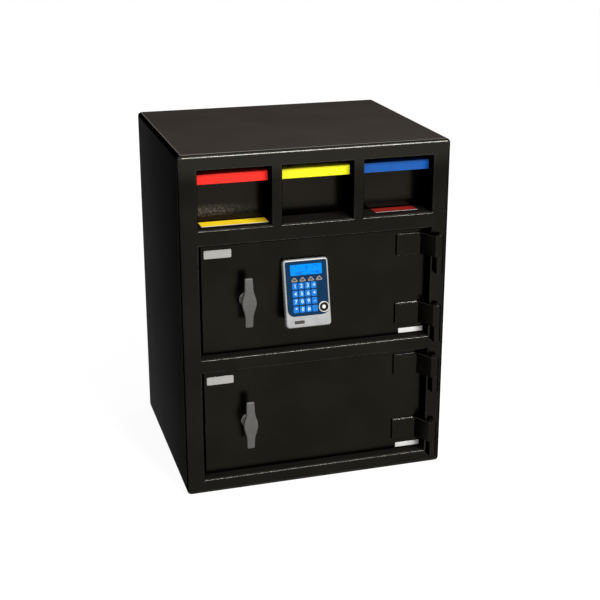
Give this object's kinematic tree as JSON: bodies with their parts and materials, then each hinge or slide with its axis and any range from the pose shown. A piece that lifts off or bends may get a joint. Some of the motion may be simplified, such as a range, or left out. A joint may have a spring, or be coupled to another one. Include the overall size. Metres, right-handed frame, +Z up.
{
  "type": "drop safe",
  "caption": "Two-compartment drop safe: tilting deposit hoppers with coloured lips over two hinged doors with turn handles and sliding bolts, upper door with a keypad lock.",
  "frame": {"origin": "middle of the base, on the face that rests on the floor", "axes": "+X to the right as seen from the front, +Y from the front to the back, +Z up"},
  "size_m": [0.5588, 0.4873, 0.7176],
  "materials": {
    "body_paint": "semi-gloss black powder coat",
    "inner_paint": "satin black",
    "hopper_paint": "gloss black",
    "door_paint": "semi-gloss black powder coat",
    "cast_grey": "satin cast",
    "plated_steel": "zinc plated",
    "lock_case": "zinc die cast, dull",
    "name_plate": "brushed",
    "keypad_silver": "satin silver",
    "keypad_navy": "satin film",
    "keypad_screen": "lit display",
    "reader_white": "smooth",
    "soft_key_grey": "satin",
    "key_blue": "satin",
    "red_strip": "gloss",
    "yellow_strip": "gloss",
    "blue_strip": "gloss"
  },
  "bodies": {
    "safe_body": {"front_frame": "body_paint", "body_wrap": "body_paint", "back_panel": "body_paint", "middle_shelf": "inner_paint", "deposit_liner": "body_paint", "deposit_deck": "inner_paint", "drop_baffle": "inner_paint", "hinge_post_1": "body_paint", "hinge_post_2": "body_paint", "hinge_post_3": "body_paint", "hinge_post_4": "body_paint"},
    "upper_door": {"door_upper": "door_paint", "dead_bar_upper": "door_paint", "hinge_strap_1": "door_paint", "hinge_strap_2": "door_paint", "bolt_guide_upper": "inner_paint", "name_plate_upper": "name_plate", "lock_case_upper": "lock_case", "keypad_housing": "keypad_silver", "keypad_overlay": "keypad_navy", "keypad_screen": "keypad_screen", "touch_reader": "reader_white"},
    "lower_door": {"door_lower": "door_paint", "dead_bar_lower": "door_paint", "hinge_strap_3": "door_paint", "hinge_strap_4": "door_paint", "bolt_guide_lower": "inner_paint", "name_plate_lower": "name_plate"},
    "upper_handle": {"handle_upper": "cast_grey", "spindle_cam_upper": "plated_steel"},
    "upper_bolts": {"bolt_carriage_upper": "plated_steel"},
    "lower_handle": {"handle_lower": "cast_grey", "spindle_cam_lower": "plated_steel"},
    "lower_bolts": {"bolt_carriage_lower": "plated_steel"},
    "left_hopper": {"hopper_left": "hopper_paint", "hopper_strip_left": "red_strip"},
    "middle_hopper": {"hopper_middle": "hopper_paint", "hopper_strip_middle": "yellow_strip"},
    "right_hopper": {"hopper_right": "hopper_paint", "hopper_strip_right": "blue_strip"},
    "soft_key_1_cap": {"soft_key_1": "soft_key_grey"},
    "soft_key_2_cap": {"soft_key_2": "soft_key_grey"},
    "soft_key_3_cap": {"soft_key_3": "soft_key_grey"},
    "soft_key_4_cap": {"soft_key_4": "soft_key_grey"},
    "key_1_1_cap": {"key_1_1": "key_blue"},
    "key_1_2_cap": {"key_1_2": "key_blue"},
    "key_1_3_cap": {"key_1_3": "key_blue"},
    "key_1_4_cap": {"key_1_4": "key_blue"},
    "key_2_1_cap": {"key_2_1": "key_blue"},
    "key_2_2_cap": {"key_2_2": "key_blue"},
    "key_2_3_cap": {"key_2_3": "key_blue"},
    "key_2_4_cap": {"key_2_4": "key_blue"},
    "key_3_1_cap": {"key_3_1": "key_blue"},
    "key_3_2_cap": {"key_3_2": "key_blue"},
    "key_3_3_cap": {"key_3_3": "key_blue"},
    "key_3_4_cap": {"key_3_4": "key_blue"},
    "key_4_1_cap": {"key_4_1": "key_blue"},
    "key_4_2_cap": {"key_4_2": "key_blue"},
    "key_4_3_cap": {"key_4_3": "key_blue"},
    "key_4_4_cap": {"key_4_4": "key_blue"}
  },
  "joints": [
    {"name": "upper_door_hinge", "type": "hinge", "parent": "safe_body", "child": "upper_door", "pos_m": [0.257, -0.24335, 0.41575], "axis": [0, 0, 1], "range_deg": [0, 115]},
    {"name": "upper_handle_turn", "type": "hinge", "parent": "upper_door", "child": "upper_handle", "pos_m": [-0.1464, -0.23335, 0.41325], "axis": [0, 1, 0], "range_deg": [0, 90]},
    {"name": "upper_bolt_throw", "type": "slide", "parent": "upper_door", "child": "upper_bolts", "axis": [1, 0, 0], "range_m": [-0.022, 0]},
    {"name": "lower_door_hinge", "type": "hinge", "parent": "safe_body", "child": "lower_door", "pos_m": [0.257, -0.24335, 0.14925], "axis": [0, 0, 1], "range_deg": [0, 115]},
    {"name": "lower_handle_turn", "type": "hinge", "parent": "lower_door", "child": "lower_handle", "pos_m": [-0.1464, -0.23335, 0.14675], "axis": [0, 1, 0], "range_deg": [0, 90]},
    {"name": "lower_bolt_throw", "type": "slide", "parent": "lower_door", "child": "lower_bolts", "axis": [1, 0, 0], "range_m": [-0.022, 0]},
    {"name": "left_hopper_tilt", "type": "hinge", "parent": "safe_body", "child": "left_hopper", "pos_m": [-0.16893, -0.16335, 0.575], "axis": [1, 0, 0], "range_deg": [0, 50]},
    {"name": "middle_hopper_tilt", "type": "hinge", "parent": "safe_body", "child": "middle_hopper", "pos_m": [0, -0.16335, 0.575], "axis": [1, 0, 0], "range_deg": [0, 50]},
    {"name": "right_hopper_tilt", "type": "hinge", "parent": "safe_body", "child": "right_hopper", "pos_m": [0.16893, -0.16335, 0.575], "axis": [1, 0, 0], "range_deg": [0, 50]},
    {"name": "soft_key_1_press", "type": "slide", "parent": "upper_door", "child": "soft_key_1_cap", "axis": [0, 0.9749, -0.2225], "range_m": [0, 0.001], "stiffness_N_per_m": 300},
    {"name": "soft_key_2_press", "type": "slide", "parent": "upper_door", "child": "soft_key_2_cap", "axis": [0, 0.9749, -0.2225], "range_m": [0, 0.001], "stiffness_N_per_m": 300},
    {"name": "soft_key_3_press", "type": "slide", "parent": "upper_door", "child": "soft_key_3_cap", "axis": [0, 0.9749, -0.2225], "range_m": [0, 0.001], "stiffness_N_per_m": 300},
    {"name": "soft_key_4_press", "type": "slide", "parent": "upper_door", "child": "soft_key_4_cap", "axis": [0, 0.9749, -0.2225], "range_m": [0, 0.001], "stiffness_N_per_m": 300},
    {"name": "key_1_1_press", "type": "slide", "parent": "upper_door", "child": "key_1_1_cap", "axis": [0, 0.9749, -0.2225], "range_m": [0, 0.001], "stiffness_N_per_m": 300},
    {"name": "key_1_2_press", "type": "slide", "parent": "upper_door", "child": "key_1_2_cap", "axis": [0, 0.9749, -0.2225], "range_m": [0, 0.001], "stiffness_N_per_m": 300},
    {"name": "key_1_3_press", "type": "slide", "parent": "upper_door", "child": "key_1_3_cap", "axis": [0, 0.9749, -0.2225], "range_m": [0, 0.001], "stiffness_N_per_m": 300},
    {"name": "key_1_4_press", "type": "slide", "parent": "upper_door", "child": "key_1_4_cap", "axis": [0, 0.9749, -0.2225], "range_m": [0, 0.001], "stiffness_N_per_m": 300},
    {"name": "key_2_1_press", "type": "slide", "parent": "upper_door", "child": "key_2_1_cap", "axis": [0, 0.9749, -0.2225], "range_m": [0, 0.001], "stiffness_N_per_m": 300},
    {"name": "key_2_2_press", "type": "slide", "parent": "upper_door", "child": "key_2_2_cap", "axis": [0, 0.9749, -0.2225], "range_m": [0, 0.001], "stiffness_N_per_m": 300},
    {"name": "key_2_3_press", "type": "slide", "parent": "upper_door", "child": "key_2_3_cap", "axis": [0, 0.9749, -0.2225], "range_m": [0, 0.001], "stiffness_N_per_m": 300},
    {"name": "key_2_4_press", "type": "slide", "parent": "upper_door", "child": "key_2_4_cap", "axis": [0, 0.9749, -0.2225], "range_m": [0, 0.001], "stiffness_N_per_m": 300},
    {"name": "key_3_1_press", "type": "slide", "parent": "upper_door", "child": "key_3_1_cap", "axis": [0, 0.9749, -0.2225], "range_m": [0, 0.001], "stiffness_N_per_m": 300},
    {"name": "key_3_2_press", "type": "slide", "parent": "upper_door", "child": "key_3_2_cap", "axis": [0, 0.9749, -0.2225], "range_m": [0, 0.001], "stiffness_N_per_m": 300},
    {"name": "key_3_3_press", "type": "slide", "parent": "upper_door", "child": "key_3_3_cap", "axis": [0, 0.9749, -0.2225], "range_m": [0, 0.001], "stiffness_N_per_m": 300},
    {"name": "key_3_4_press", "type": "slide", "parent": "upper_door", "child": "key_3_4_cap", "axis": [0, 0.9749, -0.2225], "range_m": [0, 0.001], "stiffness_N_per_m": 300},
    {"name": "key_4_1_press", "type": "slide", "parent": "upper_door", "child": "key_4_1_cap", "axis": [0, 0.9749, -0.2225], "range_m": [0, 0.001], "stiffness_N_per_m": 300},
    {"name": "key_4_2_press", "type": "slide", "parent": "upper_door", "child": "key_4_2_cap", "axis": [0, 0.9749, -0.2225], "range_m": [0, 0.001], "stiffness_N_per_m": 300},
    {"name": "key_4_3_press", "type": "slide", "parent": "upper_door", "child": "key_4_3_cap", "axis": [0, 0.9749, -0.2225], "range_m": [0, 0.001], "stiffness_N_per_m": 300},
    {"name": "key_4_4_press", "type": "slide", "parent": "upper_door", "child": "key_4_4_cap", "axis": [0, 0.9749, -0.2225], "range_m": [0, 0.001], "stiffness_N_per_m": 300}
  ],
  "couplings": [
    {"joint": "upper_bolt_throw", "follows": "upper_handle_turn", "m_per_rad": -0.014},
    {"joint": "lower_bolt_throw", "follows": "lower_handle_turn", "m_per_rad": -0.014}
  ]
}
